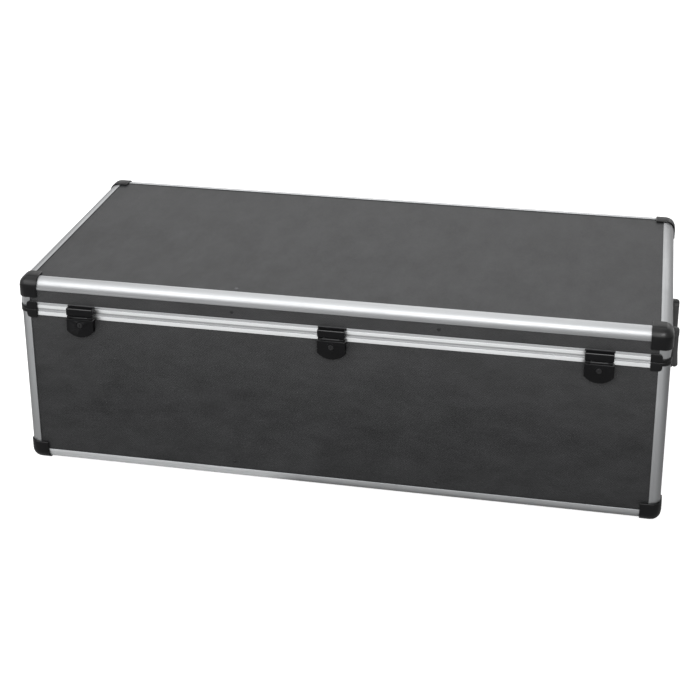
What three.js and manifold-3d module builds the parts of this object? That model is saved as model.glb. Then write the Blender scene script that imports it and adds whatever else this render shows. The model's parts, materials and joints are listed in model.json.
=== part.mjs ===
// A long flight case for stage lights. Laminated plywood panels sit in slotted aluminium
// edge extrusions, black ball corners cap the eight corners, and the lid closes on a
// stepped double rim with three key-locking flip latches. It hinges along the back on a
// continuous hinge, and each end has a swinging handle.
// Millimetres, Z up. The latches face -Y and the long side lies along X.

import * as THREE from 'three';
import { mergeVertices } from 'three/addons/utils/BufferGeometryUtils.js';
import { RoundedBoxGeometry } from 'three/addons/geometries/RoundedBoxGeometry.js';
import Module from 'manifold-3d';

const wasm = await Module();
wasm.setup();

// The case over its edge extrusions
const case_length = 1130;
const case_depth = 515;
const base_height = 300;
const lid_height = 57;
const case_height = base_height + lid_height;

// Fits
const seat_gap = 0.3;
const parting_gap = 0.3;
const cut_overrun = 40;

// Panels and edge extrusion
const panel_thickness = 6.5;
const flange_width = 20;
const flange_thickness = 1.5;
const flange_tip_bevel = 0.5;
const corner_radius = 16;
const slot_depth = 7;
const arc_steps = 3;
const small_arc_steps = 1;
const bow_steps = 4;

// Rims that close on each other at the parting line
const rim_recess = 1;
const rim_step = 2.85;
const rim_plate_bottom = 4.5;
const rim_bevel = 0.5;
const base_band_height = 8;
const lid_band_height = 6.8;
const lid_lip_height = 4.3;
const lid_lip_setback = 0.6;
const rim_skirt_height = 20;
const tongue_width = 2.4;
const tongue_height = 1.6;
const tongue_clearance = 0.7;

// Ball corners
const cap_leg = 34;
const cap_proud = 2.5;
const cap_edge_radius = 1.4;
const cap_rounding_steps = 3;
const cap_edge_steps = 1;

// Joiners over the ends of the rims
const joiner_start = 13.5;
const joiner_end = 33;
const joiner_height = 15.5;
const joiner_proud = 1.7;
const joiner_wrap_height = 5.8;
const joiner_post_radius = 5.5;
const joiner_rim_radius = 2;

// Continuous hinge
const hinge_end_inset = 36;
const hinge_leaf_thickness = 1.2;
const hinge_leaf_top = 2.2;
const hinge_leaf_width = 8.2;
const hinge_knuckle_radius = 3;
const hinge_bore_radius = 1.5;
const hinge_pin_radius = 1.2;
const hinge_knuckle_count = 15;
const hinge_sides = 8;
const hinge_axis_out = 4.2;

// Latches
const latch_end_inset = 115;
const latch_count = 3;
const pivot_sides = 8;
const hook_half_width = 24;
const hook_wall = 2.5;
const hook_top = 12.5;
const hook_claw_thickness = 3;
const hook_corner_radius = 1.5;
const lever_half_width = 25;
const lever_wall = 2.6;
const lever_bottom = 42;
const lever_side_bottom = 30;
const lever_corner_clip = 1;
const lever_inner_face = 3;
const latch_skin_inner = 9;
const latch_skin_outer = 12;
const latch_bevel = 1.4;
const latch_bevel_steps = 2;
const lever_axis_out = 4.4;
const lever_axis_up = 2;
const lever_eye_radius = 2.6;
const lever_stub_radius = 2;
const lever_ear_inner = 11.7;
const lever_ear_thickness = 3;
const lever_ear_reach = 7;
const hook_axis_out = 10.5;
const hook_axis_down = 4;
const knuckle_radius = 2.2;
const knuckle_pin_radius = 1.1;
const knuckle_clearance = 2.9;
const hook_knuckle_end = 22.5;
const running_clearance = 0.3;
const housing_half_width = 20;
const housing_plate_thickness = 2.2;
const housing_top = 2;
const housing_bottom = 38;
const housing_pad_top = 11.2;
const housing_corner_radius = 3;
const housing_ear_thickness = 2.8;
const housing_ear_radius = 2.9;
const housing_ear_foot = 12;
const housing_rivet_radius = 2.4;
const housing_rivet_sides = 6;
const housing_rivet_height = 0.9;
const housing_rivet_in = 6;
const lock_drop = 18.5;
const lock_head_radius = 4.6;
const lock_barrel_radius = 3.6;
const lock_barrel_length = 4.2;
const lock_ring_radius = 7.6;
const lock_ring_height = 0.7;
const lock_sides = 14;
const lock_slot_width = 1.3;
const lock_slot_length = 6;
const lock_slot_depth = 1.8;
const lock_cam_length = 8;
const lock_cam_width = 4.4;
const lock_cam_thickness = 1.6;

// End handles
const handle_pivot_drop = 37;
const handle_pivot_out = 10.5;
const handle_half_length = 62;
const handle_plate_half_height = 9.5;
const handle_plate_thickness = 2.7;
const handle_foot_radius = 4;
const handle_ear_thickness = 6;
const handle_ear_reach = 16;
const handle_ear_radius = 5;
const handle_stub_radius = 2.6;
const bail_arm_width = 8;
const bail_arm_inner = 5;
const bail_arm_outer = 15.6;
const bail_arm_length = 64;
const bail_eye_reach = 5;
const bail_foot_drop = 3.5;
const bail_inner_radius = 5;
const bail_bevel = 1.2;
const grip_out = 11.2;
const grip_radius = 6.7;
const grip_end_radius = 6.2;
const grip_end_round = 1;
const grip_sides = 10;
const grip_profile_steps = 4;

// Worked out from the sizes above
const slot_width = panel_thickness + 2 * seat_gap;
const slot_inner = flange_thickness + slot_width;
const wall_depth = slot_inner + flange_thickness;
const slot_floor = flange_width - slot_depth;
const panel_face = flange_thickness + seat_gap;
const panel_end = slot_floor + seat_gap;
const half_parting = parting_gap / 2;
const latch_spacing = (case_length - 2 * latch_end_inset) / (latch_count - 1);
const rim_start = flange_width + seat_gap;
const few_steps = { steps: small_arc_steps };

const laminate = new THREE.MeshStandardMaterial({ color: 0x4b4c4e, roughness: 0.62, metalness: 0 });
const aluminium = new THREE.MeshStandardMaterial({ color: 0xc4c6c8, roughness: 0.34, metalness: 1 });
const black_plastic = new THREE.MeshStandardMaterial({ color: 0x1c1c1e, roughness: 0.45, metalness: 0 });
const black_enamel = new THREE.MeshStandardMaterial({ color: 0x161617, roughness: 0.4, metalness: 0.2 });
const plated_steel = new THREE.MeshStandardMaterial({ color: 0xa9abad, roughness: 0.4, metalness: 1 });

// Mesh to solid and back
function solid(geometry) {
  const bare = geometry.index ? geometry.toNonIndexed() : geometry.clone();
  bare.deleteAttribute('normal');
  bare.deleteAttribute('uv');
  const merged = mergeVertices(bare);
  return new wasm.Manifold(new wasm.Mesh({
    numProp: 3,
    vertProperties: new Float32Array(merged.attributes.position.array),
    triVerts: new Uint32Array(merged.index.array),
  }));
}

function geometry_of(body) {
  const { numProp, vertProperties, triVerts } = body.getMesh();
  const geometry = new THREE.BufferGeometry();
  const points = [];
  for (let i = 0; i < vertProperties.length; i += numProp) {
    points.push(vertProperties[i], vertProperties[i + 1], vertProperties[i + 2]);
  }
  geometry.setAttribute('position', new THREE.Float32BufferAttribute(points, 3));
  geometry.setIndex(Array.from(triVerts));
  return geometry;
}

const joined = (...bodies) => bodies.reduce((sum, body) => sum.add(body));
const cut = (body, ...tools) => tools.reduce((rest, tool) => rest.subtract(tool), body);

// A copy turned inside out along the axes whose sign is negative, with its faces still outward
function mirrored(geometry, sx, sy, sz) {
  const copy = geometry.toNonIndexed();
  copy.scale(sx, sy, sz);
  if (sx * sy * sz < 0) {
    const p = copy.attributes.position;
    for (let i = 0; i < p.count; i += 3) {
      const b = new THREE.Vector3().fromBufferAttribute(p, i + 1);
      const c = new THREE.Vector3().fromBufferAttribute(p, i + 2);
      p.setXYZ(i + 1, c.x, c.y, c.z);
      p.setXYZ(i + 2, b.x, b.y, b.z);
    }
  }
  return mergeVertices(copy);
}

const X = new THREE.Vector3(1, 0, 0);
const Y = new THREE.Vector3(0, 1, 0);
const Z = new THREE.Vector3(0, 0, 1);
const basis = (a, b, c) => new THREE.Matrix4().makeBasis(a, b, c);
const as_drawn = basis(X, Y, Z);
const along_x = basis(Y, Z, X);
const along_y = basis(Z, X, Y);
const out_of_front = basis(X, Z, Y.clone().negate());
const out_of_end = basis(Y, Z, X);
const across_latch = basis(Y.clone().negate(), Z, X.clone().negate());
const across_end = basis(X, Z, Y.clone().negate());

function path_of(points) {
  return new THREE.Shape(points.map(([a, b]) => new THREE.Vector2(a, b)));
}

// A shape drawn in the first two directions of turn and pushed along the third, from start to end
function prism(shape, start, end, turn, { steps = arc_steps, bevel = 0, rings = 1 } = {}) {
  const geometry = new THREE.ExtrudeGeometry(shape, {
    depth: end - start - 2 * bevel,
    curveSegments: steps,
    bevelEnabled: bevel > 0,
    bevelThickness: bevel,
    bevelSize: bevel,
    bevelOffset: -bevel,
    bevelSegments: rings,
  });
  geometry.translate(0, 0, start + bevel);
  geometry.applyMatrix4(turn);
  return solid(geometry);
}

function block(x0, x1, y0, y1, z0, z1) {
  const geometry = new THREE.BoxGeometry(x1 - x0, y1 - y0, z1 - z0);
  geometry.translate((x0 + x1) / 2, (y0 + y1) / 2, (z0 + z1) / 2);
  return solid(geometry);
}

function rod(axis, radius, start, end, centre, sides) {
  const geometry = new THREE.CylinderGeometry(radius, radius, end - start, sides);
  geometry.translate(0, (start + end) / 2, 0);
  if (axis === X) geometry.rotateZ(-Math.PI / 2);
  if (axis === Z) geometry.rotateX(Math.PI / 2);
  geometry.translate(centre.x, centre.y, centre.z);
  return solid(geometry);
}

function rounded_block(low, high, radius, steps) {
  const size = high - low;
  const geometry = new RoundedBoxGeometry(size, size, size, steps, radius);
  const middle = (low + high) / 2;
  geometry.translate(middle, middle, middle);
  return solid(geometry);
}

function piece(name, geometry, material) {
  const mesh = new THREE.Mesh(geometry, material);
  mesh.name = name;
  return mesh;
}

// A piece drawn inward from the case's front left bottom corner, put at the corner that
// the signs name: sx -1 is the right end, sy -1 the back and sz -1 the top
function corner_piece(name, geometry, material, sx, sy, sz) {
  const mesh = piece(name, mirrored(geometry, sx, sy, sz), material);
  mesh.position.set(-sx * case_length / 2, -sy * case_depth / 2, sz > 0 ? 0 : case_height);
  return mesh;
}

const corners = [
  ['front_left', 1, 1],
  ['front_right', -1, 1],
  ['rear_left', 1, -1],
  ['rear_right', -1, -1],
];

// Edge extrusion: an outer rounded angle and an inner angle with a slot on each side for a
// panel, round a hollow corner chamber
function edge_profile() {
  const shape = new THREE.Shape();
  shape.moveTo(flange_width - flange_tip_bevel, 0);
  shape.lineTo(flange_width, flange_tip_bevel);
  shape.lineTo(flange_width, flange_thickness);
  shape.lineTo(slot_floor, flange_thickness);
  shape.lineTo(slot_floor, slot_inner);
  shape.lineTo(flange_width, slot_inner);
  shape.lineTo(flange_width, wall_depth);
  shape.lineTo(wall_depth, wall_depth);
  shape.lineTo(wall_depth, flange_width);
  shape.lineTo(slot_inner, flange_width);
  shape.lineTo(slot_inner, slot_floor);
  shape.lineTo(flange_thickness, slot_floor);
  shape.lineTo(flange_thickness, flange_width);
  shape.lineTo(flange_tip_bevel, flange_width);
  shape.lineTo(0, flange_width - flange_tip_bevel);
  shape.lineTo(0, corner_radius);
  shape.absarc(corner_radius, corner_radius, corner_radius, Math.PI, 1.5 * Math.PI, false);
  const chamber_corner = slot_inner;
  const chamber_radius = corner_radius - flange_thickness;
  const chamber_angle = Math.asin((corner_radius - chamber_corner) / chamber_radius);
  const chamber = new THREE.Path();
  chamber.moveTo(chamber_corner, chamber_corner);
  chamber.absarc(
    corner_radius, corner_radius, chamber_radius,
    Math.PI + chamber_angle, 1.5 * Math.PI - chamber_angle, false,
  );
  shape.holes.push(chamber);
  return shape;
}

// The end of a length, as points of (distance along, distance in from the face): mitred
// against its neighbour with a gap, or cut square
function mitre_end(gap) {
  return [
    [corner_radius, -cut_overrun],
    [corner_radius, corner_radius - gap],
    [corner_radius + flange_width, corner_radius + flange_width - gap],
  ];
}

function square_end(inset) {
  return [[inset, -cut_overrun], [inset, corner_radius + cut_overrun]];
}

function length_between(length, start, end) {
  const far = end.map(([along, inward]) => [length - along, inward]).reverse();
  return path_of([...start, ...far]);
}

// A length of the extrusion along Z, with its ends shaped against both neighbours
function edge_length(length, start_x, end_x, start_y, end_y) {
  const reach = flange_width + cut_overrun;
  const from_x = prism(length_between(length, start_x, end_x), -reach, reach, basis(Z, X, Y));
  const from_y = prism(length_between(length, start_y, end_y), -reach, reach,
    basis(Z, Y, X.clone().negate()));
  return prism(edge_profile(), 0, length, as_drawn).intersect(from_x).intersect(from_y);
}

function mitred_edge(length) {
  const end = mitre_end(seat_gap);
  return edge_length(length, end, end, end, end);
}

// Post stopped under the rim's plate, with the side facing X or Y run into its neighbour
function corner_post(height, gap_x, gap_y) {
  const top = square_end(rim_plate_bottom + seat_gap);
  return edge_length(height, mitre_end(gap_x), top, mitre_end(gap_y), top);
}

function turned(geometry, turn) {
  const copy = geometry.clone();
  copy.applyMatrix4(turn);
  return copy;
}

const long_edge = turned(geometry_of(mitred_edge(case_length)), along_x);
const short_edge = turned(geometry_of(mitred_edge(case_depth)), along_y);

function base_edges() {
  return [
    corner_piece('base_edge_front', long_edge, aluminium, 1, 1, 1),
    corner_piece('base_edge_rear', long_edge, aluminium, 1, -1, 1),
    corner_piece('base_edge_left', short_edge, aluminium, 1, 1, 1),
    corner_piece('base_edge_right', short_edge, aluminium, -1, 1, 1),
  ];
}

function base_posts() {
  const post = geometry_of(corner_post(base_height, seat_gap, seat_gap));
  return corners.map(([where, sx, sy]) => (
    corner_piece(`base_post_${where}`, post, aluminium, sx, sy, 1)));
}

// Each top edge of the lid carries the short post at one of its ends
function lid_edges() {
  const fused = -2 * seat_gap;
  const long_with_post = geometry_of(joined(
    solid(long_edge), corner_post(lid_height, fused, seat_gap)));
  const short_with_post = geometry_of(joined(
    solid(short_edge), corner_post(lid_height, seat_gap, fused)));
  return [
    corner_piece('lid_edge_front', long_with_post, aluminium, 1, 1, -1),
    corner_piece('lid_edge_rear', long_with_post, aluminium, -1, -1, -1),
    corner_piece('lid_edge_left', short_with_post, aluminium, 1, -1, -1),
    corner_piece('lid_edge_right', short_with_post, aluminium, -1, 1, -1),
  ];
}

// Panels, drawn from the corner that they start at
function panel(length, depth, height) {
  const geometry = new THREE.BoxGeometry(length, depth, height);
  geometry.translate(length / 2, depth / 2, height / 2);
  return geometry;
}

function panel_piece(name, size, start, signs) {
  const geometry = panel(...size);
  geometry.translate(...start);
  return corner_piece(name, geometry, laminate, ...signs);
}

function panels(body, height, sz) {
  const long_run = case_length - 2 * panel_end;
  const short_run = case_depth - 2 * panel_end;
  const rise = height - panel_end - rim_plate_bottom - seat_gap;
  const flat = body === 'base' ? 'base_floor' : 'lid_top';
  const long_size = [long_run, panel_thickness, rise];
  const short_size = [panel_thickness, short_run, rise];
  const long_start = [panel_end, panel_face, panel_end];
  const short_start = [panel_face, panel_end, panel_end];
  return [
    panel_piece(flat, [long_run, short_run, panel_thickness],
      [panel_end, panel_end, panel_face], [1, 1, sz]),
    panel_piece(`${body}_front_panel`, long_size, long_start, [1, 1, sz]),
    panel_piece(`${body}_rear_panel`, long_size, long_start, [1, -1, sz]),
    panel_piece(`${body}_left_panel`, short_size, short_start, [1, 1, sz]),
    panel_piece(`${body}_right_panel`, short_size, short_start, [-1, 1, sz]),
  ];
}

// The case's outline seen from above, brought in from its faces
function plan_outline(Outline, inset) {
  const x = case_length / 2 - inset;
  const y = case_depth / 2 - inset;
  const r = Math.max(corner_radius - inset, rim_bevel);
  const outline = new Outline();
  outline.moveTo(x - r, -y);
  outline.absarc(x - r, r - y, r, -Math.PI / 2, 0, false);
  outline.absarc(x - r, y - r, r, 0, Math.PI / 2, false);
  outline.absarc(r - x, y - r, r, Math.PI / 2, Math.PI, false);
  outline.absarc(r - x, r - y, r, Math.PI, 1.5 * Math.PI, false);
  return outline;
}

function plan_ring(outer_inset, inner_inset) {
  const ring = plan_outline(THREE.Shape, outer_inset);
  ring.holes.push(plan_outline(THREE.Path, inner_inset));
  return ring;
}

// A section of the rim's length, drawn as (distance in from the face, height), along one side
function rim_side(section, side_length, half_width, quarter_turns) {
  const run = side_length / 2 - rim_start;
  const geometry = geometry_of(prism(section, -run, run, along_x));
  geometry.translate(0, -half_width, 0);
  geometry.rotateZ(quarter_turns * Math.PI / 2);
  return solid(geometry);
}

function rim_sides(section) {
  return [0, 1, 2, 3].map((quarter_turns) => (quarter_turns % 2 === 0
    ? rim_side(section, case_length, case_depth / 2, quarter_turns)
    : rim_side(section, case_depth, case_length / 2, quarter_turns)));
}

// Both rims are drawn upward from the parting plane: a plate round the whole case, set in
// behind the band's face, and between the posts an outer band and an inner skirt that
// hold the panels' edges
function rim_body(band_points) {
  const plate = prism(plan_ring(rim_recess, wall_depth), half_parting, rim_plate_bottom, as_drawn);
  const skirt = path_of([
    [slot_inner, rim_step], [wall_depth, rim_step],
    [wall_depth, rim_skirt_height], [slot_inner, rim_skirt_height],
  ]);
  return joined(plate, ...rim_sides(path_of(band_points)), ...rim_sides(skirt));
}

const tongue_middle = (rim_recess + wall_depth) / 2;

function base_rim() {
  const top = rim_step + base_band_height;
  const body = rim_body([
    [flange_thickness, rim_step], [rim_bevel, rim_step], [0, rim_step + rim_bevel],
    [0, top - rim_bevel], [rim_bevel, top], [flange_thickness, top],
  ]);
  const half_groove = tongue_width / 2 + tongue_clearance;
  const groove = prism(plan_ring(tongue_middle - half_groove, tongue_middle + half_groove),
    -cut_overrun, tongue_height + tongue_clearance, as_drawn);
  const mesh = piece('base_rim', mirrored(geometry_of(cut(body, groove)), 1, 1, -1), aluminium);
  mesh.position.z = base_height;
  return mesh;
}

function lid_rim() {
  const step = rim_step + lid_band_height;
  const top = step + lid_lip_height;
  const body = rim_body([
    [flange_thickness, rim_step], [rim_bevel, rim_step], [0, rim_step + rim_bevel],
    [0, step - rim_bevel], [lid_lip_setback, step], [lid_lip_setback, top - rim_bevel],
    [lid_lip_setback + rim_bevel, top], [flange_thickness, top],
  ]);
  const half_tongue = tongue_width / 2;
  const tongue = prism(plan_ring(tongue_middle - half_tongue, tongue_middle + half_tongue),
    -tongue_height, rim_step, as_drawn);
  const mesh = piece('lid_rim', geometry_of(joined(body, tongue)), aluminium);
  mesh.position.z = base_height;
  return mesh;
}

// Ball corner: a moulded shell over the three extrusions, with a core that closes the
// inside corner between them and a pad on each face that reaches the panel
function ball_corner() {
  const outer = rounded_block(-cap_proud, 2 * cap_leg, corner_radius + cap_proud, cap_rounding_steps)
    .intersect(rounded_block(-cap_proud, cap_leg, cap_edge_radius, cap_edge_steps));
  const core_end = slot_floor - seat_gap;
  const core = cut(
    block(-cut_overrun, core_end, -cut_overrun, core_end, -cut_overrun, core_end),
    block(wall_depth, cut_overrun, wall_depth, cut_overrun, wall_depth, cut_overrun),
  );
  const inside = rounded_block(-seat_gap, cap_leg + cut_overrun, corner_radius + seat_gap,
    cap_rounding_steps);
  const pad_start = flange_width + seat_gap;
  const pad_end = cap_leg - cap_edge_radius;
  const pads = [
    block(pad_start, pad_end, pad_start, pad_end, -cap_proud / 2, flange_thickness),
    block(pad_start, pad_end, -cap_proud / 2, flange_thickness, pad_start, pad_end),
    block(-cap_proud / 2, flange_thickness, pad_start, pad_end, pad_start, pad_end),
  ];
  return geometry_of(joined(cut(outer, cut(inside, core)), ...pads));
}

function ball_corners(body, sz) {
  const geometry = ball_corner();
  return corners.map(([where, sx, sy]) => (
    corner_piece(`${body}_corner_${where}`, geometry, black_plastic, sx, sy, sz)));
}

// Joiner: two tiles over the ends of the rims and a thin strap round the post between them,
// drawn from the case's vertical corner edge, downward from the parting plane
function joiner_plan() {
  const outer = -joiner_proud;
  const inner = -seat_gap;
  const c = corner_radius;
  const shape = new THREE.Shape();
  shape.moveTo(joiner_end, inner);
  shape.lineTo(joiner_end, outer);
  shape.lineTo(c, outer);
  shape.absarc(c, c, c - outer, 1.5 * Math.PI, Math.PI, true);
  shape.lineTo(outer, joiner_end);
  shape.lineTo(inner, joiner_end);
  shape.lineTo(inner, c);
  shape.absarc(c, c, c - inner, Math.PI, 1.5 * Math.PI, false);
  return shape;
}

function joiner_tile() {
  const a = joiner_start;
  const b = joiner_end;
  const low = -joiner_height;
  const tile = new THREE.Shape();
  tile.moveTo(a, 0);
  tile.lineTo(a, low + joiner_post_radius);
  tile.absarc(a + joiner_post_radius, low + joiner_post_radius, joiner_post_radius,
    Math.PI, 1.5 * Math.PI, false);
  tile.lineTo(b - joiner_rim_radius, low);
  tile.absarc(b - joiner_rim_radius, low + joiner_rim_radius, joiner_rim_radius,
    -Math.PI / 2, 0, false);
  tile.lineTo(b, 0);
  return tile;
}

function rim_joiner() {
  const plan = joiner_plan();
  const strap = prism(plan, -joiner_wrap_height, -half_parting, as_drawn);
  const tall = prism(plan, -joiner_height, -half_parting, as_drawn);
  const front_tile = prism(joiner_tile(), -corner_radius, cut_overrun, out_of_front, few_steps);
  const end_tile = prism(joiner_tile(), -cut_overrun, corner_radius, out_of_end, few_steps);
  return geometry_of(joined(strap, tall.intersect(front_tile), tall.intersect(end_tile)));
}

function joiners(body, sz) {
  const geometry = rim_joiner();
  return corners.map(([where, sx, sy]) => {
    const mesh = piece(`${body}_joiner_${where}`, mirrored(geometry, sx, sy, sz), black_plastic);
    mesh.position.set(-sx * case_length / 2, -sy * case_depth / 2, base_height);
    return mesh;
  });
}

// Continuous hinge, drawn at the back face: Y is out of the case and Z up from the parting plane
const hinge_length = case_length - 2 * hinge_end_inset;
const hinge_pitch = hinge_length / hinge_knuckle_count;
const hinge_centre = new THREE.Vector3(0, hinge_axis_out, 0);

function hinge_leaf(first_knuckle) {
  const back = seat_gap;
  const face = seat_gap + hinge_leaf_thickness;
  const half = hinge_length / 2;
  const leaf_bottom = -hinge_leaf_top - hinge_leaf_width;
  const bodies = [block(-half, half, back, face, leaf_bottom, -hinge_leaf_top)];
  for (let i = first_knuckle; i < hinge_knuckle_count; i += 2) {
    const start = i * hinge_pitch - half + seat_gap / 2;
    const end = start + hinge_pitch - seat_gap;
    bodies.push(block(start, end, back, face, -hinge_leaf_top - seat_gap, 0));
    bodies.push(rod(X, hinge_knuckle_radius, start, end, hinge_centre, hinge_sides));
  }
  const bore = rod(X, hinge_bore_radius, -half - cut_overrun, half + cut_overrun,
    hinge_centre, hinge_sides);
  return geometry_of(cut(joined(...bodies), bore));
}

function hinge_pieces() {
  const pin = geometry_of(rod(X, hinge_pin_radius, -hinge_length / 2, hinge_length / 2,
    hinge_centre, hinge_sides));
  const base_leaf = piece('hinge_leaf_base', hinge_leaf(0), plated_steel);
  const lid_leaf = piece('hinge_leaf_lid', mirrored(hinge_leaf(1), 1, 1, -1), plated_steel);
  const hinge_pin = piece('hinge_pin', pin, plated_steel);
  for (const mesh of [base_leaf, lid_leaf, hinge_pin]) {
    mesh.position.set(0, case_depth / 2, base_height);
  }
  return { base_leaf, lid_leaf, hinge_pin };
}

// Latch pieces are drawn with their origin on the case's front face at the parting plane.
// Out is -Y. The lever turns on the housing's ears, and the hook on the lever's knuckle.
const lever_axis = new THREE.Vector3(0, -lever_axis_out, lever_axis_up);
const hook_axis = new THREE.Vector3(0, -hook_axis_out, -hook_axis_down);
const lever_ear_outer = lever_ear_inner + lever_ear_thickness;
const housing_ear_inner = lever_ear_outer + running_clearance;
const housing_ear_outer = housing_ear_inner + housing_ear_thickness;
const lever_top = -hook_axis_down - knuckle_clearance;
const hook_bottom = -hook_axis_down + knuckle_clearance;

function both_sides(make) {
  return [make(1), make(-1)];
}

// A plate across X between inner and outer on one side of the latch, drawn as (out, up)
function ear(points, inner, outer, side) {
  const start = side > 0 ? -outer : inner;
  const end = side > 0 ? -inner : outer;
  return prism(path_of(points), start, end, across_latch);
}

function rod_pair(radius, inner, outer, centre, sides) {
  return both_sides((side) => rod(X, radius,
    side > 0 ? inner : -outer, side > 0 ? outer : -inner, centre, sides));
}

function rounded_rectangle(x0, x1, z0, z1, radius) {
  const shape = new THREE.Shape();
  shape.moveTo(x0 + radius, z0);
  shape.absarc(x1 - radius, z0 + radius, radius, -Math.PI / 2, 0, false);
  shape.absarc(x1 - radius, z1 - radius, radius, 0, Math.PI / 2, false);
  shape.absarc(x0 + radius, z1 - radius, radius, Math.PI / 2, Math.PI, false);
  shape.absarc(x0 + radius, z0 + radius, radius, Math.PI, 1.5 * Math.PI, false);
  return shape;
}

function latch_housing() {
  const w = housing_half_width;
  const plate_face = seat_gap + housing_plate_thickness;
  const plate = prism(rounded_rectangle(-w, w, -housing_bottom, -housing_top, housing_corner_radius),
    seat_gap, plate_face, out_of_front, few_steps);
  const pad = prism(
    rounded_rectangle(-w, w, -housing_bottom, -housing_pad_top, housing_corner_radius),
    -flange_thickness, plate_face, out_of_front, few_steps);
  const ear_points = [
    [seat_gap, -housing_top], [seat_gap, -housing_ear_foot], [plate_face, -housing_ear_foot],
    [lever_axis_out + housing_ear_radius, lever_axis_up],
    [lever_axis_out - housing_ear_radius, lever_axis_up],
  ];
  const ears = both_sides((side) => ear(ear_points, housing_ear_inner, housing_ear_outer, side));
  const eyes = rod_pair(housing_ear_radius, housing_ear_inner, housing_ear_outer,
    lever_axis, pivot_sides);
  const bores = rod(X, lever_stub_radius + running_clearance, -cut_overrun, cut_overrun,
    lever_axis, pivot_sides);
  const rivet_x = housing_half_width - housing_rivet_in;
  const rivets = [-housing_bottom + housing_rivet_in, -housing_pad_top - housing_rivet_in]
    .flatMap((z) => both_sides((side) => rod(Y, housing_rivet_radius,
      -plate_face - housing_rivet_height, 0,
      new THREE.Vector3(side * rivet_x, 0, z), housing_rivet_sides)));
  return geometry_of(cut(joined(plate, pad, ...ears, ...eyes, ...rivets), bores));
}

// The lever's outline: straight sides with clipped top corners and a bottom edge on one arc
function lever_outline(inset, top) {
  const sagitta = lever_bottom - lever_side_bottom;
  const bow = (lever_half_width ** 2 + sagitta ** 2) / (2 * sagitta);
  const centre_z = bow - lever_bottom;
  const x = lever_half_width - inset;
  const r = bow - inset;
  const half_angle = Math.asin(x / r);
  const shape = new THREE.Shape();
  shape.moveTo(-x, top - lever_corner_clip);
  shape.absarc(0, centre_z, r, -Math.PI / 2 - half_angle, -Math.PI / 2 + half_angle, false);
  shape.lineTo(x, top - lever_corner_clip);
  shape.lineTo(x - lever_corner_clip, top);
  shape.lineTo(lever_corner_clip - x, top);
  return shape;
}

function latch_lever() {
  const shell = prism(lever_outline(0, lever_top), 0, latch_skin_outer, out_of_front,
    { steps: bow_steps, bevel: latch_bevel, rings: latch_bevel_steps });
  const hollow = prism(lever_outline(lever_wall, cut_overrun), -cut_overrun, latch_skin_inner,
    out_of_front, { steps: bow_steps });
  const reach = cut_overrun + lever_bottom;
  const behind = block(-reach, reach, -lever_inner_face, cut_overrun, -reach, reach);
  const skin_point = latch_skin_inner + latch_bevel / 2;
  const ear_points = [
    [lever_axis_out - lever_eye_radius, lever_axis_up],
    [lever_axis_out - lever_eye_radius / 2, lever_axis_up - lever_eye_radius],
    [lever_axis_out - lever_eye_radius / 2, lever_top],
    [skin_point, lever_top - lever_ear_reach],
    [skin_point, lever_top],
    [lever_axis_out + lever_eye_radius, lever_axis_up],
  ];
  const ears = both_sides((side) => ear(ear_points, lever_ear_inner, lever_ear_outer, side));
  const eyes = rod_pair(lever_eye_radius, lever_ear_inner, lever_ear_outer, lever_axis, pivot_sides);
  const stubs = rod_pair(lever_stub_radius, lever_ear_inner, housing_ear_outer,
    lever_axis, pivot_sides);
  const knuckle = rod(X, knuckle_radius, -lever_ear_outer, lever_ear_outer, hook_axis, pivot_sides);
  const pin = rod(X, knuckle_pin_radius, -hook_knuckle_end, hook_knuckle_end, hook_axis, pivot_sides);
  const web = block(-lever_ear_outer, lever_ear_outer, -latch_skin_outer + latch_bevel,
    -latch_skin_inner, lever_top - latch_bevel, -hook_axis_down);
  const lock_centre = new THREE.Vector3(0, 0, -lock_drop);
  const ring = rod(Y, lock_ring_radius, -latch_skin_outer - lock_ring_height, -latch_skin_inner,
    lock_centre, lock_sides);
  const lock_bore = rod(Y, lock_head_radius + running_clearance, -latch_skin_outer - cut_overrun, 0,
    lock_centre, lock_sides);
  return geometry_of(cut(
    joined(cut(shell, hollow, behind), ...ears, ...eyes, ...stubs, knuckle, pin, web, ring),
    lock_bore,
  ));
}

function latch_hook() {
  const w = hook_half_width;
  const shell = prism(rounded_rectangle(-w, w, hook_bottom, hook_top, hook_corner_radius),
    seat_gap - latch_bevel, latch_skin_outer, out_of_front,
    { steps: small_arc_steps, bevel: latch_bevel, rings: latch_bevel_steps });
  const behind = block(-cut_overrun, cut_overrun, -seat_gap, cut_overrun, -cut_overrun, cut_overrun);
  const inside_x = w - hook_wall;
  const hollow = block(-inside_x, inside_x, -latch_skin_inner, cut_overrun,
    -cut_overrun, hook_top - hook_claw_thickness);
  const knuckle_start = lever_ear_outer + running_clearance;
  const knuckles = rod_pair(knuckle_radius, knuckle_start, hook_knuckle_end, hook_axis, pivot_sides);
  const webs = both_sides((side) => block(
    side > 0 ? knuckle_start : -hook_knuckle_end, side > 0 ? hook_knuckle_end : -knuckle_start,
    -latch_skin_outer + latch_bevel, -latch_skin_inner,
    -hook_axis_down, hook_bottom + latch_bevel));
  const bore = rod(X, knuckle_pin_radius + running_clearance, -cut_overrun, cut_overrun,
    hook_axis, pivot_sides);
  return geometry_of(cut(joined(cut(shell, behind, hollow), ...knuckles, ...webs), bore));
}

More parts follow.
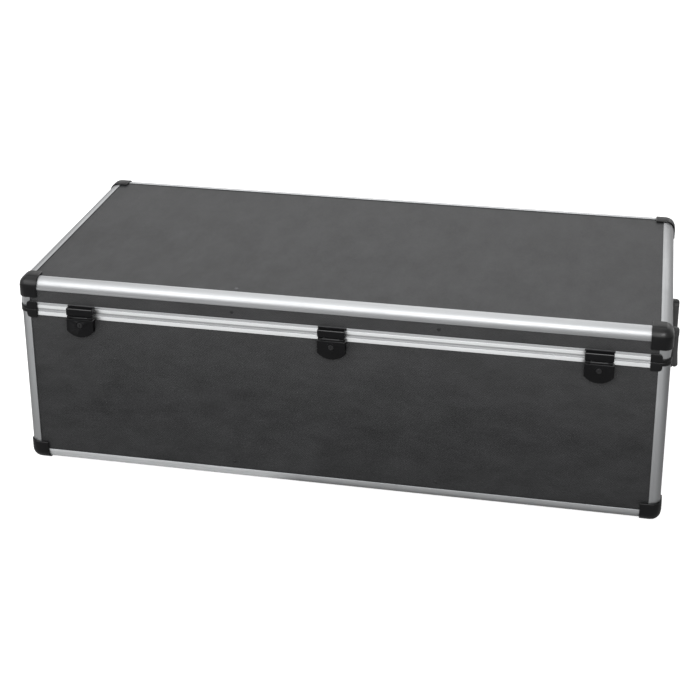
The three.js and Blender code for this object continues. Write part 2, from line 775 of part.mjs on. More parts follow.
// Lock plug: a head with a key slot, a barrel and a cam tail behind the lever's skin
function lock_plug() {
  const head_face = latch_skin_outer + lock_ring_height;
  const head_back = latch_skin_inner;
  const barrel_back = head_back - lock_barrel_length;
  const centre = new THREE.Vector3(0, 0, 0);
  const head = rod(Y, lock_head_radius, -head_face, -head_back, centre, lock_sides);
  const barrel = rod(Y, lock_barrel_radius, -head_back - lock_slot_width, -barrel_back,
    centre, pivot_sides);
  const cam = block(-lock_cam_width / 2, lock_cam_width / 2,
    -barrel_back - lock_cam_thickness, -barrel_back, -lock_cam_length, 0);
  const slot = block(-lock_slot_width / 2, lock_slot_width / 2,
    -head_face - cut_overrun, -head_face + lock_slot_depth,
    -lock_slot_length / 2, lock_slot_length / 2);
  return geometry_of(cut(joined(head, barrel, cam), slot));
}

const latch_names = ['left', 'middle', 'right'];

function latches() {
  const housing = latch_housing();
  const lever = latch_lever();
  const hook = latch_hook();
  const plug = lock_plug();
  const group = new THREE.Group();
  for (let i = 0; i < latch_count; i += 1) {
    const latch = new THREE.Group();
    const where = latch_names[i];
    const lock = piece(`lock_plug_${where}`, plug, black_enamel);
    lock.position.z = -lock_drop;
    latch.add(
      piece(`latch_housing_${where}`, housing, black_enamel),
      piece(`latch_lever_${where}`, lever, black_plastic),
      piece(`latch_hook_${where}`, hook, black_plastic),
      lock,
    );
    latch.position.set((i - (latch_count - 1) / 2) * latch_spacing, -case_depth / 2, base_height);
    group.add(latch);
  }
  return group;
}

// End handle, drawn on the right end: X is out of the case, and the pivot axis is along Y
const pivot_axis = new THREE.Vector3(handle_pivot_out, 0, 0);
const ear_inner = handle_half_length - handle_ear_thickness;
const arm_outer = ear_inner - running_clearance;
const arm_inner = arm_outer - bail_arm_width;

function handle_mount() {
  const back = -flange_thickness;
  const front = back + handle_plate_thickness;
  const h = handle_plate_half_height;
  const plate = prism(
    rounded_rectangle(-handle_half_length, handle_half_length, -h, h, handle_foot_radius),
    back, front, out_of_end, few_steps);
  const ear_shape = rounded_rectangle(-handle_ear_reach, handle_ear_reach, -h, h, handle_ear_radius);
  const ears = both_sides((side) => prism(ear_shape,
    side > 0 ? -handle_half_length : ear_inner, side > 0 ? -ear_inner : handle_half_length,
    across_end, few_steps));
  const behind = block(-cut_overrun, back, -cut_overrun - handle_half_length,
    cut_overrun + handle_half_length, -cut_overrun, cut_overrun);
  const bore = rod(Y, handle_stub_radius + running_clearance, -handle_half_length - cut_overrun,
    handle_half_length + cut_overrun, pivot_axis, pivot_sides);
  return geometry_of(cut(joined(plate, ...ears), behind, bore));
}

// The bail's frame in the end's plane: two arms with round eyes, and a run inside the grip
function bail_outline() {
  const low = -bail_arm_length - bail_foot_drop;
  const inner_low = bail_foot_drop - bail_arm_length;
  const q = bail_inner_radius;
  const half_arm = bail_arm_width / 2;
  const shape = new THREE.Shape();
  shape.moveTo(-arm_outer, bail_eye_reach - half_arm);
  shape.lineTo(-arm_outer, low);
  shape.lineTo(arm_outer, low);
  shape.absarc(arm_outer - half_arm, bail_eye_reach - half_arm, half_arm, 0, Math.PI, false);
  shape.absarc(arm_inner - q, inner_low + q, q, 0, -Math.PI / 2, true);
  shape.absarc(q - arm_inner, inner_low + q, q, -Math.PI / 2, -Math.PI, true);
  shape.absarc(half_arm - arm_outer, bail_eye_reach - half_arm, half_arm, 0, Math.PI, false);
  return shape;
}

// A round grip, fuller in the middle, that runs to the arms' outer faces
function grip() {
  const end = arm_outer;
  const flank = end - grip_end_round;
  const profile = [
    new THREE.Vector2(0, -end),
    new THREE.Vector2(grip_end_radius - grip_end_round, -end),
  ];
  for (let i = 0; i <= grip_profile_steps; i += 1) {
    const share = 2 * i / grip_profile_steps - 1;
    const radius = grip_end_radius + (grip_radius - grip_end_radius) * (1 - share ** 2);
    profile.push(new THREE.Vector2(radius, share * flank));
  }
  profile.push(new THREE.Vector2(grip_end_radius - grip_end_round, end));
  profile.push(new THREE.Vector2(0, end));
  const geometry = new THREE.LatheGeometry(profile, grip_sides);
  geometry.translate(grip_out, 0, -bail_arm_length);
  return solid(geometry);
}

function handle_bail() {
  const frame = prism(bail_outline(), bail_arm_inner, bail_arm_outer, out_of_end,
    { bevel: bail_bevel });
  const stubs = both_sides((side) => rod(Y, handle_stub_radius,
    side > 0 ? arm_inner + bail_bevel : -handle_half_length,
    side > 0 ? handle_half_length : -arm_inner - bail_bevel,
    pivot_axis, pivot_sides));
  return geometry_of(joined(frame, grip(), ...stubs));
}

function handles() {
  const mount = handle_mount();
  const bail = handle_bail();
  const group = new THREE.Group();
  for (const [where, side] of [['left', -1], ['right', 1]]) {
    const handle = new THREE.Group();
    handle.add(
      piece(`handle_mount_${where}`, mirrored(mount, side, 1, 1), black_plastic),
      piece(`handle_bail_${where}`, mirrored(bail, side, 1, 1), black_plastic),
    );
    handle.position.set(side * case_length / 2, 0, base_height - handle_pivot_drop);
    group.add(handle);
  }
  return group;
}

// The whole case stands on its ball corners, with the origin under the middle of its box
const hinge = hinge_pieces();

const base = new THREE.Group();
base.add(
  ...panels('base', base_height, 1),
  ...base_edges(),
  ...base_posts(),
  base_rim(),
  ...ball_corners('base', 1),
  ...joiners('base', 1),
  hinge.base_leaf,
  hinge.hinge_pin,
  latches(),
  handles(),
);

const lid = new THREE.Group();
lid.add(
  ...panels('lid', lid_height, -1),
  ...lid_edges(),
  lid_rim(),
  ...ball_corners('lid', -1),
  ...joiners('lid', -1),
  hinge.lid_leaf,
);

const latch_reach = hook_axis_out + knuckle_radius;
const hinge_reach = hinge_axis_out + hinge_knuckle_radius;

const flight_case = new THREE.Group();
flight_case.add(base, lid);
flight_case.position.set(0, (latch_reach - hinge_reach) / 2, cap_proud);

export default flight_case;
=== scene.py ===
import json
import math
import bmesh
import bpy
from mathutils import Matrix, Vector


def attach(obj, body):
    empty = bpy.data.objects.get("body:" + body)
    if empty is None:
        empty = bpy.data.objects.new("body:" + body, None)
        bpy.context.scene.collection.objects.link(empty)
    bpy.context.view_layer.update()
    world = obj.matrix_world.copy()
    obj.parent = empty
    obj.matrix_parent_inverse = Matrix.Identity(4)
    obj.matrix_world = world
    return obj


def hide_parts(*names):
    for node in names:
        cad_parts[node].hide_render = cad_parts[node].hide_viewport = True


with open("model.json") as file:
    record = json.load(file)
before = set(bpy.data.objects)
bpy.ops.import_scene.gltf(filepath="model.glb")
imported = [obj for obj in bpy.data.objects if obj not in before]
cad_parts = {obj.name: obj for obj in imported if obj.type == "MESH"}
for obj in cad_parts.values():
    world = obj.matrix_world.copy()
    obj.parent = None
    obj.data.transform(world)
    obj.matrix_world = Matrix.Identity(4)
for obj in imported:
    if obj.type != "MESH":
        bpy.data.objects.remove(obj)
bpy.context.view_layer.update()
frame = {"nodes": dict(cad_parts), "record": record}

# Sizes in metres, in the same frame as the solids. The corner caps lift the case by FOOT. Its
# middle lies SHIFT_Y behind the frame's, because the latches stand out further than the hinge.
LENGTH, DEPTH, HEIGHT = 1.130, 0.515, 0.357
BASE_HEIGHT = 0.300
FOOT = 0.0025
SHIFT_Y = 0.00275
FRONT = SHIFT_Y - DEPTH / 2
PARTING = BASE_HEIGHT + FOOT
LATCH_INSET = 0.115
PANEL_INSET = 0.0018

# Indices of the axes
X, Y, Z = range(3)

# Camera, from a fit to the photograph's edges. Its aim point and its distances are in case
# lengths, from the middle of the case's front at the foot.
PICTURE_WIDTH = 700
SENSOR_WIDTH = 36
FOCAL_PIXELS = 1522.995
AZIMUTH, ELEVATION, ROLL = 0.201375, 0.352049, -0.004583
AIM = Vector((0.0, 0.2, 0.15))
ACROSS, UP_BY, AWAY = -0.012036, 0.280911, 2.514268
FRAME_SHIFT = -0.25
CLIP_NEAR, CLIP_FAR = 0.05, 60


def add_camera():
    level = math.cos(ELEVATION)
    back = Vector((math.sin(AZIMUTH) * level, -math.cos(AZIMUTH) * level, math.sin(ELEVATION)))
    right = Vector((math.cos(AZIMUTH), math.sin(AZIMUTH), 0))
    up = back.cross(right)
    place = (AIM + AWAY * back + ACROSS * right + UP_BY * up) * LENGTH
    data = bpy.data.cameras.new("camera")
    data.sensor_width = SENSOR_WIDTH
    data.lens = FOCAL_PIXELS / PICTURE_WIDTH * SENSOR_WIDTH
    data.shift_y = FRAME_SHIFT
    data.clip_start = CLIP_NEAR
    data.clip_end = CLIP_FAR
    camera = bpy.data.objects.new("camera", data)
    rolled_right = math.cos(ROLL) * right + math.sin(ROLL) * up
    rolled_up = math.cos(ROLL) * up - math.sin(ROLL) * right
    matrix = Matrix((rolled_right, rolled_up, back)).transposed().to_4x4()
    matrix.translation = place + Vector((0, FRONT, FOOT))
    camera.matrix_world = matrix
    bpy.context.scene.collection.objects.link(camera)
    bpy.context.scene.camera = camera


# A node tree, with a short call for each kind of node that the materials and the studio use
class Graph:
    def __init__(self, tree):
        self.nodes, self.links = tree.nodes, tree.links

    def feed(self, socket, value):
        if isinstance(value, bpy.types.NodeSocket):
            self.links.new(value, socket)
        else:
            socket.default_value = value

    def node(self, kind, **inputs):
        node = self.nodes.new("ShaderNode" + kind)
        for key, value in inputs.items():
            self.feed(node.inputs[key.replace("_", " ")], value)
        return node

    def calc(self, operation, first, second):
        node = self.node("Math")
        node.operation = operation
        self.feed(node.inputs[0], first)
        self.feed(node.inputs[1], second)
        return node.outputs[0]

    def axes(self, vector):
        return self.node("SeparateXYZ", Vector=vector).outputs

    def noise(self, vector, scale, detail=3.0, roughness=0.5):
        node = self.node("TexNoise", Vector=vector, Scale=scale, Detail=detail, Roughness=roughness)
        return node.outputs["Fac"]

    def ranged(self, value, span, target):
        node = self.node("MapRange", Value=value, From_Min=span[0], From_Max=span[1],
                         To_Min=target[0], To_Max=target[1])
        return node.outputs["Result"]

    def ramp(self, value, *stops):
        node = self.node("ValToRGB", Fac=value)
        for element, (position, colour) in zip(node.color_ramp.elements, stops):
            element.position = position
            element.color = (*colour, 1)
        return node.outputs["Color"]

    def lightened(self, colour, amount):
        node = self.node("VectorMath")
        node.operation = "ADD"
        self.feed(node.inputs[0], colour)
        self.feed(node.inputs[1], amount)
        return node.outputs[0]

    def scaled(self, colour, factor):
        node = self.node("VectorMath")
        node.operation = "SCALE"
        self.feed(node.inputs[0], colour)
        self.feed(node.inputs["Scale"], factor)
        return node.outputs[0]

    # Whether a ray comes from the camera, and whether from a mirror-like surface or glass
    def ray_kinds(self):
        path = self.node("LightPath").outputs
        mirrored = self.calc("MAXIMUM", path["Is Glossy Ray"], path["Is Transmission Ray"])
        return path["Is Camera Ray"], mirrored


# Every material by its name, as Look adds them
MATERIALS = {}


# A material's graph, with its shader's inputs and the coordinates and normals of its own object
class Look(Graph):
    def __init__(self, name, colour, roughness, metallic=0.0):
        material = bpy.data.materials.new(name)
        material.use_nodes = True
        super().__init__(material.node_tree)
        self.shader = self.nodes["Principled BSDF"].inputs
        self.shader["Base Color"].default_value = (*colour, 1)
        self.shader["Roughness"].default_value = roughness
        self.shader["Metallic"].default_value = metallic
        coords = self.node("TexCoord").outputs
        self.place, self.normal = coords["Object"], coords["Normal"]
        MATERIALS[name] = material

    def mapped(self, scale, rotation=(0, 0, 0)):
        return self.node("Mapping", Vector=self.place, Scale=scale, Rotation=rotation).outputs["Vector"]

    def surface(self, colour, roughness):
        self.links.new(colour, self.shader["Base Color"])
        self.links.new(roughness, self.shader["Roughness"])

    # A bump lies over the one that is given as under
    def bump(self, height, depth, strength, under=None):
        node = self.node("Bump", Height=height, Distance=depth, Strength=strength)
        if under is not None:
            self.links.new(under, node.inputs["Normal"])
        self.links.new(node.outputs["Normal"], self.shader["Normal"])
        return node.outputs["Normal"]


# The span that most values of a noise lie in
NOISE_LOW, NOISE_HIGH = 0.3, 0.7
NOISE_SPAN = (NOISE_LOW, NOISE_HIGH)


def around(middle, below, above):
    return middle - below, middle + above


def shade(colour, factor):
    return [part * factor for part in colour]


DIAMOND_PITCH = 0.0034
DIAMOND_TURN = math.radians(45)
EMBOSS_DEPTH = 0.0004
LAMINATE_GRAIN_DEPTH = 0.0001
LAMINATE_ROUGHNESS = 0.5
MOTTLE_LOW, MOTTLE_HIGH = 0.32, 0.68
PAINTED_LIGHT_HEIGHTS = (0.14, 0.32)


# Laminate: a cloudy dark grey with a fine grain, embossed with small diamonds. Painted light
# makes it lighter toward the top of the upright panels.
def laminate(name, flat_axis, clouds, dark, light, cloudiness, specular, emboss, painted_top_light=0.0):
    look = Look(name, light, LAMINATE_ROUGHNESS)
    look.shader["Specular IOR Level"].default_value = specular
    flattened, turn = [1.0, 1.0, 1.0], [0.0, 0.0, 0.0]
    flattened[flat_axis] = 0.0
    turn[flat_axis] = DIAMOND_TURN
    diamonds = look.node("TexVoronoi", Vector=look.mapped(flattened, turn),
                         Scale=1 / DIAMOND_PITCH, Randomness=0.0)
    cloud = look.noise(look.mapped(clouds), scale=1.0, detail=6.0, roughness=0.66)
    speckle = look.noise(look.place, scale=340.0, detail=2.0)
    grain = look.noise(look.place, scale=900.0, detail=2.0)
    mottled = look.calc("ADD", look.calc("MULTIPLY", cloud, cloudiness),
                        look.calc("MULTIPLY", speckle, 1 - cloudiness))
    paint = look.ramp(mottled, (MOTTLE_LOW, dark), (MOTTLE_HIGH, light))
    # Painted light: lighter toward the top
    if painted_top_light:
        height = look.axes(look.place)["Z"]
        paint = look.lightened(paint, look.ranged(height, PAINTED_LIGHT_HEIGHTS, (0.0, painted_top_light)))
    look.surface(paint, look.ranged(cloud, NOISE_SPAN, around(LAMINATE_ROUGHNESS, below=0.03, above=0.03)))
    embossed = look.bump(diamonds.outputs["Distance"], EMBOSS_DEPTH, strength=emboss)
    look.bump(grain, LAMINATE_GRAIN_DEPTH, strength=0.6, under=embossed)


# Painted shade on a profile's metal, fitted to the shading seen: the side that its own normals
# turn to, the shares of the normal between which it darkens, and the brightness left
FRONT_PAINTED_SHADE = ("front", (0.75, 1.0), 0.69)
ENDS_PAINTED_SHADE = ("ends", (0.3, 0.9), 0.55)
UNDER_PAINTED_SHADE = ("under", (0.15, 0.72), 0.4)

# Painted light on the bottom edges, brighter at the left: the places between which that fades,
# and its gain
LEFT_PAINTED_LIGHT = ((-0.125, -0.065), 1.55)


# Painted shade: a factor that darkens the colour by which way the normal turns
def painted_shading(look, side, shares, least):
    normal = look.axes(look.normal)
    if side == "ends":
        turned = look.calc("ABSOLUTE", normal["X"], 0.0)
    else:
        turned = look.calc("MULTIPLY", normal["Y" if side == "front" else "Z"], -1.0)
    return look.ranged(turned, shares, (1.0, least))


# Painted light: raises that factor along the bottom edges' left part
def painted_left_light(look, factor, places, gain):
    along = look.axes(look.place)["X"]
    kept = look.calc("MULTIPLY", factor, look.ranged(along, places, (0.0, 1.0)))
    return look.calc("ADD", look.ranged(along, places, (gain, 0.0)), kept)


LINES_ACROSS, LINES_ALONG = 2600.0, 5.0
LINE_DEPTH = 0.00004


# Drawn metal: fine lines along one axis over a handled, uneven sheen
def drawn_metal(name, axis, colour, roughness, painted_shade=None, left_light=None):
    look = Look(name, colour, roughness, metallic=1.0)
    lines = [LINES_ACROSS] * 3
    lines[axis] = LINES_ALONG
    drawn = look.noise(look.mapped(lines), scale=1.0, detail=2.0)
    handled = look.noise(look.place, scale=14.0, detail=4.0, roughness=0.6)
    paint = look.ramp(drawn, (NOISE_LOW, shade(colour, 0.9)), (NOISE_HIGH, colour))
    # Painted shade and painted light scale the colour, where a row asks for them
    if painted_shade:
        factor = painted_shading(look, *painted_shade)
        if left_light:
            factor = painted_left_light(look, factor, *left_light)
        paint = look.scaled(paint, factor)
    look.surface(paint, look.ranged(handled, NOISE_SPAN, around(roughness, below=0.05, above=0.07)))
    look.bump(drawn, LINE_DEPTH, strength=0.5)


# Moulded plastic or enamel with a fine grain
def moulded(name, colour, roughness, specular, grains, grain_depth):
    look = Look(name, colour, roughness)
    look.shader["Specular IOR Level"].default_value = specular
    grain = look.noise(look.place, scale=grains)
    handled = look.noise(look.place, scale=30.0, detail=4.0)
    paint = look.ramp(handled, (NOISE_LOW, shade(colour, 0.75)), (0.75, shade(colour, 1.2)))
    look.surface(paint, look.ranged(handled, NOISE_SPAN, around(roughness, below=0.06, above=0.08)))
    look.bump(grain, grain_depth, strength=0.6)


SPANGLE_DEPTH = 0.00003


def plated(name, colour, roughness):
    look = Look(name, colour, roughness, metallic=1.0)
    spangle = look.noise(look.place, scale=240.0, detail=4.0)
    paint = look.ramp(spangle, (NOISE_LOW, shade(colour, 0.82)), (NOISE_HIGH, colour))
    look.surface(paint, look.ranged(spangle, NOISE_SPAN, around(roughness, below=0.08, above=0.1)))
    look.bump(spangle, SPANGLE_DEPTH, strength=0.4)


# Painted light: the top's laminate is painted lighter than the upright panels', though both are one
# laminate
TOP_DARK, TOP_LIGHT = (0.0125, 0.0127, 0.0132), (0.0365, 0.0370, 0.0380)
SIDE_DARK, SIDE_LIGHT = (0.0030, 0.0031, 0.0034), (0.0185, 0.0188, 0.0197)
LOW_METAL = (0.33, 0.335, 0.34)

# The profiles are one aluminium, but each gets its own colour as painted light and shade: brighter on the
# edges along the case and on the rims, darker on the edges across its ends and the posts.
# Name, axis of the drawn lines, colour, roughness, painted shade and painted left light
METALS = (
    ("metal_x", X, (0.36, 0.366, 0.372), 0.5, FRONT_PAINTED_SHADE),
    ("metal_y", Y, (0.262, 0.266, 0.271), 0.4),
    ("metal_z", Z, (0.295, 0.30, 0.305), 0.4, ENDS_PAINTED_SHADE),
    ("metal_low_x", X, LOW_METAL, 0.4, UNDER_PAINTED_SHADE, LEFT_PAINTED_LIGHT),
    ("metal_low_y", Y, LOW_METAL, 0.4, UNDER_PAINTED_SHADE),
    ("metal_rim", X, (0.38, 0.386, 0.392), 0.34),
    ("metal_lip", X, (0.17, 0.173, 0.178), 0.4),
    ("metal_band", X, (0.71, 0.72, 0.725), 0.34),
)

# Name, colour, roughness, specular level, grains to the metre and their depth
MOULDINGS = (
    ("moulding", (0.0024, 0.0024, 0.0027), 0.4, 0.125, 1400.0, 0.00005),
    ("moulding_edge", (0.0020, 0.0020, 0.0023), 0.34, 0.24, 1400.0, 0.00005),
    ("latch_plastic", (0.0020, 0.0020, 0.0023), 0.3, 0.09, 1800.0, 0.00003),
    ("latch_edge", (0.006, 0.006, 0.0065), 0.26, 0.55, 1800.0, 0.00002),
    ("lever_edge", (0.005, 0.005, 0.0055), 0.3, 0.25, 1800.0, 0.00002),
    # The handle's plastic is painted grey rather than black, as painted light
    ("handle", (0.060, 0.060, 0.061), 0.45, 0.14, 1000.0, 0.00005),
    ("enamel", (0.0025, 0.0025, 0.003), 0.34, 0.13, 900.0, 0.00003),
    ("lock", (0.008, 0.008, 0.0085), 0.3, 0.2, 1200.0, 0.00002),
    ("keeper", (0.020, 0.020, 0.021), 0.4, 0.3, 1800.0, 0.00002),
    ("black_screw", (0.012, 0.012, 0.0124), 0.45, 0.15, 1200.0, 0.00002),
)

# Name, colour and roughness
PLATINGS = (
    ("zinc", (0.50, 0.51, 0.53), 0.34),
    ("screw", (0.085, 0.085, 0.09), 0.4),
)


def add_materials():
    laminate("laminate_top", Z, (24, 13, 24), TOP_DARK, TOP_LIGHT,
             cloudiness=0.75, specular=0.12, emboss=0.5)
    for name, flat_axis, clouds in (("laminate_front", Y, (18, 34, 34)),
                                    ("laminate_end", X, (34, 18, 34))):
        # The upright panels get painted light toward their top
        laminate(name, flat_axis, clouds, SIDE_DARK, SIDE_LIGHT,
                 cloudiness=0.5, specular=0.26, emboss=1.6, painted_top_light=0.0095)
    for row in METALS:
        drawn_metal(*row)
    for row in MOULDINGS:
        moulded(*row)
    for row in PLATINGS:
        plated(*row)


# Heights of the outer band on each rim, between its lip and the parting groove. The band is
# painted bright as a reflection, and the lip dark as shade.
RIM_REFLECTION_BANDS = {
    "base_rim": (PARTING - 0.0110, PARTING - 0.0045),
    "lid_rim": (PARTING + 0.0045, PARTING + 0.0090),
}

# Shares of a face's normal: level faces, faces square to an axis, and those that look up
LEVEL, SQUARE = 0.9, 0.97
WEAR_AND_HIGHLIGHT_UP, LIP_UP = 0.25, 0.3


def paint_reflection_band(mesh, low, high, index):
    for polygon in mesh.polygons:
        if low < polygon.center.z < high and abs(polygon.normal.z) < LEVEL:
            polygon.material_index = index


# Narrow faces that look up from an extrusion's lip, painted dark as shade
def paint_lip_shade(mesh, index):
    for polygon in mesh.polygons:
        if polygon.normal.z > LIP_UP:
            polygon.material_index = index


# Rounded faces that look up and out. They are glossier, as wear, and on the hooks and levers
# also painted lighter, as a painted highlight.
def paint_wear_and_highlight(mesh, index, lowest):
    for polygon in mesh.polygons:
        rounded = max(abs(part) for part in polygon.normal) < SQUARE
        if rounded and polygon.normal.z > WEAR_AND_HIGHLIGHT_UP and polygon.center.z > lowest:
            polygon.material_index = index


def add_slot(mesh, material):
    mesh.materials.append(MATERIALS[material])
    return len(mesh.materials) - 1


# Width to which a solid's sharp edges are broken, by material
EDGE_BREAK = {"moulding": 0.0007, "handle": 0.0007, "latch_plastic": 0.0010, "lock": 0.0005}
METAL_EDGE_BREAK = 0.00022
EDGE_SEGMENTS = 2
EDGE_ANGLE = math.radians(35)
SMOOTH_ANGLE = math.radians(33)
FLAT_ANGLE = math.radians(1)
WELD_DISTANCE = 1e-6

# Material of the worn, highlighted edges, by the material beside them, but for the levers
WEAR_AND_HIGHLIGHT_EDGE = {"moulding": "moulding_edge", "latch_plastic": "latch_edge", "lock": "latch_edge"}

BODY_OF = {node: body for body, nodes in frame["record"]["behaviour"]["bodies"].items() for node in nodes}


def welded_copy(node):
    mesh = frame["nodes"][node].data.copy()
    mesh.name = node + "_skin"
    work = bmesh.new()
    work.from_mesh(mesh)
    bmesh.ops.remove_doubles(work, verts=work.verts, dist=WELD_DISTANCE)
    bmesh.ops.dissolve_limit(work, angle_limit=FLAT_ANGLE, verts=work.verts, edges=work.edges)
    for face in work.faces:
        face.smooth = True
    work.to_mesh(mesh)
    work.free()
    mesh.materials.clear()
    return mesh


def break_edges(piece, width):
    edge = piece.modifiers.new("edge", "BEVEL")
    edge.width = width
    edge.segments = EDGE_SEGMENTS
    edge.limit_method = "ANGLE"
    edge.angle_limit = EDGE_ANGLE
    edge.harden_normals = False
    edge.use_clamp_overlap = True
    bpy.context.view_layer.objects.active = piece
    for other in bpy.context.selected_objects:
        other.select_set(False)
    piece.select_set(True)
    bpy.ops.object.modifier_apply(modifier="edge")


# A smooth-shaded copy of a solid, with its sharp edges slightly broken, in place of the solid
def refine(node, material):
    mesh = welded_copy(node)
    add_slot(mesh, material)
    # Painted reflection on the rims' bands
    if node in RIM_REFLECTION_BANDS:
        paint_reflection_band(mesh, *RIM_REFLECTION_BANDS[node], add_slot(mesh, "metal_band"))
    # Painted shade on the lips
    if node in RIM_REFLECTION_BANDS or node.startswith("base_edge"):
        paint_lip_shade(mesh, add_slot(mesh, "metal_lip"))
    piece = bpy.data.objects.new(node + "_skin", mesh)
    bpy.context.scene.collection.objects.link(piece)
    break_edges(piece, EDGE_BREAK.get(material, METAL_EDGE_BREAK))
    # Glossier, partly lighter faces that look up: wear and a painted highlight
    wear_and_highlight = "lever_edge" if "lever" in node else WEAR_AND_HIGHLIGHT_EDGE.get(material)
    if wear_and_highlight:
        paint_wear_and_highlight(mesh, add_slot(mesh, wear_and_highlight), PARTING if "hook" in node else 0.0)
    bpy.ops.object.shade_auto_smooth(angle=SMOOTH_ANGLE)
    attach(piece, BODY_OF[node])
    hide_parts(node)


# Material and slot of each solid, by the words in its name
def look_of(node):
    at_side = "left" in node or "right" in node
    if node in ("base_floor", "lid_top"):
        return "laminate_top", "laminate"
    if "panel" in node:
        return "laminate_end" if at_side else "laminate_front", "laminate"
    if "post" in node:
        return "metal_z", "extrusion"
    if "edge" in node:
        low = "low_" if node.startswith("base") else ""
        return "metal_" + low + ("y" if at_side else "x"), "extrusion"
    if "rim" in node:
        return "metal_rim", "extrusion"
    if "corner" in node or "joiner" in node:
        return "moulding", "moulding"
    if "handle" in node:
        return "handle", "moulding"
    if "lever" in node or "hook" in node:
        return "latch_plastic", "latch_plastic"
    if "housing" in node:
        return "enamel", "enamel"
    if "lock" in node:
        return "lock", "enamel"
    return "zinc", "zinc"


# The panels are flat sheets held in slots, so they keep their own solids
def add_skins():
    for node in list(frame["nodes"]):
        material, slot = look_of(node)
        if slot == "laminate":
            frame["nodes"][node].material_slots[0].material = MATERIALS[material]
        else:
            refine(node, material)


def new_piece(name, work, material):
    mesh = bpy.data.meshes.new(name)
    work.to_mesh(mesh)
    work.free()
    mesh.materials.append(material)
    piece = bpy.data.objects.new(name, mesh)
    bpy.context.scene.collection.objects.link(piece)
    return piece


# A low screw head with a dished middle, as radii and heights outward from its middle
SCREW_DISH = 0.0009
SCREW_RINGS = ((0.0014, 0.0011), (0.0026, 0.0008), (0.0033, 0.0))
SCREW_SIDES = 24
LID_SCREW_HEIGHT, BASE_SCREW_HEIGHT = 0.3257, 0.0318
LID_SCREWS = {"left": -0.177, "right": 0.182}
BASE_SCREWS = {"left": -0.181, "right": 0.181}
TOP_SCREW_X, TOP_SCREW_INSET = -0.176, 0.034


def add_screw(name, x, y, z, body, material="black_screw", tilt=0.0):
    work = bmesh.new()
    middle = work.verts.new((0, -SCREW_DISH, 0))
    angles = [2 * math.pi * i / SCREW_SIDES for i in range(SCREW_SIDES)]
    rings = [[work.verts.new((radius * math.cos(angle), -height, radius * math.sin(angle)))
              for angle in angles] for radius, height in SCREW_RINGS]
    sides = [(i, (i + 1) % SCREW_SIDES) for i in range(SCREW_SIDES)]
    for i, j in sides:
        work.faces.new((middle, rings[0][i], rings[0][j]))
    for inner, outer in zip(rings, rings[1:]):
        for i, j in sides:
            work.faces.new((inner[i], outer[i], outer[j], inner[j]))
    for face in work.faces:
        face.smooth = True
    bmesh.ops.recalc_face_normals(work, faces=work.faces)
    piece = new_piece(name, work, MATERIALS[material])
    piece.location = (x, y, z + FOOT)
    piece.rotation_euler = (tilt, 0, 0)
    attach(piece, body)


def add_screws():
    for side in ("left", "right"):
        add_screw("lid_screw_" + side, LID_SCREWS[side], FRONT + PANEL_INSET, LID_SCREW_HEIGHT, "lid")
        add_screw("base_screw_" + side, BASE_SCREWS[side], FRONT + PANEL_INSET, BASE_SCREW_HEIGHT, "base")
    add_screw("top_screw", TOP_SCREW_X, FRONT + TOP_SCREW_INSET, HEIGHT - PANEL_INSET, "lid",
              "screw", tilt=math.radians(-90))


# Strike plates: thin black angles over the lid rim's lip, where the hooks' claws bear. They also
# serve as painted shade above the hooks.
# The outline is measured back from the case's front and up from the top of the base.
KEEPER_HALF_WIDTH = 0.025
KEEPER_OUTLINE = (
    (0.00020, 0.01010), (0.00020, 0.01360), (0.00090, 0.01430), (0.00175, 0.01430),
    (0.00175, 0.01397), (0.00109, 0.01397), (0.00058, 0.01346), (0.00058, 0.01010),
)


def add_keeper(name, x):
    work = bmesh.new()
    ends = [[work.verts.new((end, FRONT + y, PARTING + z)) for y, z in KEEPER_OUTLINE]
            for end in (x - KEEPER_HALF_WIDTH, x + KEEPER_HALF_WIDTH)]
    count = len(KEEPER_OUTLINE)
    for i in range(count):
        j = (i + 1) % count
        work.faces.new((ends[0][i], ends[0][j], ends[1][j], ends[1][i]))
    for end in ends:
        work.faces.new(end)
    bmesh.ops.recalc_face_normals(work, faces=work.faces)
    piece = new_piece(name, work, MATERIALS["keeper"])
    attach(piece, "lid")


def add_keepers():
    reach = LENGTH / 2 - LATCH_INSET
    for side, x in (("left", -reach), ("middle", 0.0), ("right", reach)):
        add_keeper("keeper_" + side, x)


# Area lamps: place, target, size in metres and power in watts. Together with the world they
# show matt grey at about 1.5 times its own value.
LAMPS = {
    "overhead": ((-0.5, 0.15, 2.5), (-0.4, 0.1, 0.3), (5.4, 3.2), 52),
    "front": ((-1.1, -2.75, 2.2), (-0.1, -0.2, 0.3), (6.6, 2.1), 174),
    "behind": ((0.0, 3.2, 1.9), (0.0, 0.0, 0.3), (4.4, 1.2), 25),
    "key": ((1.3, -2.6, 2.4), (0.0, -0.2, 0.3), (0.6, 0.6), 45),
}
WHITE = (1, 1, 1, 1)
FILL = 0.28

# The floor's paint, its half width and height, and its glow as the camera and mirrors see it
FLOOR_GREY = (0.57, 0.57, 0.57, 1)
FLOOR_REACH = 14
FLOOR_HEIGHT = -0.0005
SEEN_LIFT, MIRRORED_LIFT = 0.75, 0.03


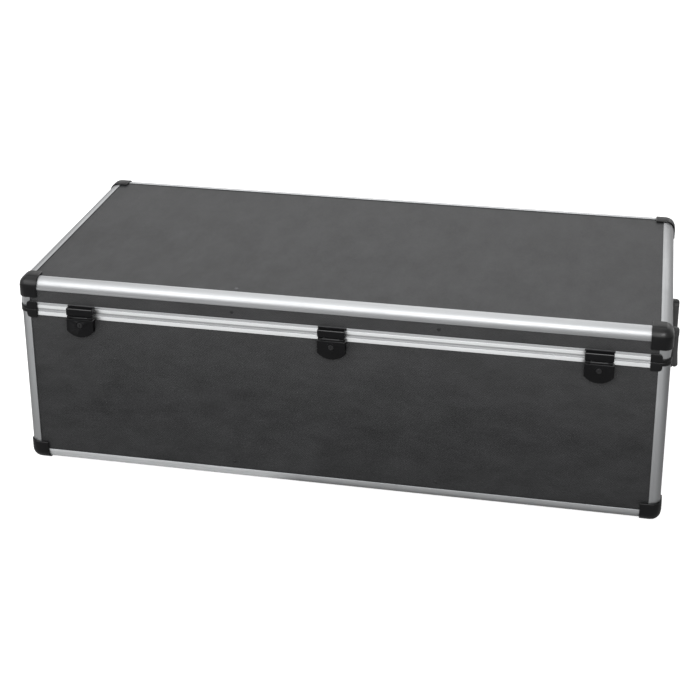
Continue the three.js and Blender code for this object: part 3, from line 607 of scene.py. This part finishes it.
def add_lamp(name, place, target, size, power):
    data = bpy.data.lights.new(name, "AREA")
    data.shape = "RECTANGLE"
    data.size, data.size_y = size
    data.energy = power
    lamp = bpy.data.objects.new(name, data)
    lamp.location = place
    lamp.rotation_euler = (Vector(target) - Vector(place)).to_track_quat("-Z", "Y").to_euler()
    bpy.context.scene.collection.objects.link(lamp)


# A weak white fill, and the full white that the camera and reflections see beyond the floor
def add_world():
    world = bpy.data.worlds.new("studio")
    world.use_nodes = True
    graph = Graph(world.node_tree)
    fill = graph.nodes["Background"]
    fill.inputs["Color"].default_value = WHITE
    fill.inputs["Strength"].default_value = FILL
    seen = graph.node("Background", Color=WHITE, Strength=1.0)
    camera_ray, mirrored = graph.ray_kinds()
    mix = graph.node("MixShader")
    graph.feed(mix.inputs[0], graph.calc("MAXIMUM", camera_ray, mirrored))
    graph.feed(mix.inputs[1], fill.outputs[0])
    graph.feed(mix.inputs[2], seen.outputs[0])
    graph.feed(graph.nodes["World Output"].inputs["Surface"], mix.outputs[0])
    bpy.context.scene.world = world


# Grey floor whose glow makes it white to the camera. Most of the object's shadow is lost in
# that white, and mirror-like surfaces see the floor darker than the camera does.
def add_floor():
    material = bpy.data.materials.new("studio_floor")
    material.use_nodes = True
    graph = Graph(material.node_tree)
    graph.nodes.remove(graph.nodes["Principled BSDF"])
    camera_ray, mirrored = graph.ray_kinds()
    strength = graph.calc("ADD", graph.calc("MULTIPLY", camera_ray, SEEN_LIFT),
                          graph.calc("MULTIPLY", mirrored, MIRRORED_LIFT))
    both = graph.node("AddShader")
    graph.feed(both.inputs[0], graph.node("BsdfDiffuse", Color=FLOOR_GREY).outputs[0])
    graph.feed(both.inputs[1], graph.node("Emission", Color=WHITE, Strength=strength).outputs[0])
    graph.feed(graph.nodes["Material Output"].inputs["Surface"], both.outputs[0])
    work = bmesh.new()
    bmesh.ops.create_grid(work, x_segments=1, y_segments=1, size=FLOOR_REACH)
    floor = new_piece("studio_floor", work, material)
    floor.location = (0, 0, FLOOR_HEIGHT)


def add_studio():
    for name, lamp in LAMPS.items():
        add_lamp(name, *lamp)
    add_world()
    add_floor()
    bpy.context.scene.view_settings.view_transform = "Standard"


add_camera()
add_materials()
add_skins()
add_screws()
add_keepers()
add_studio()
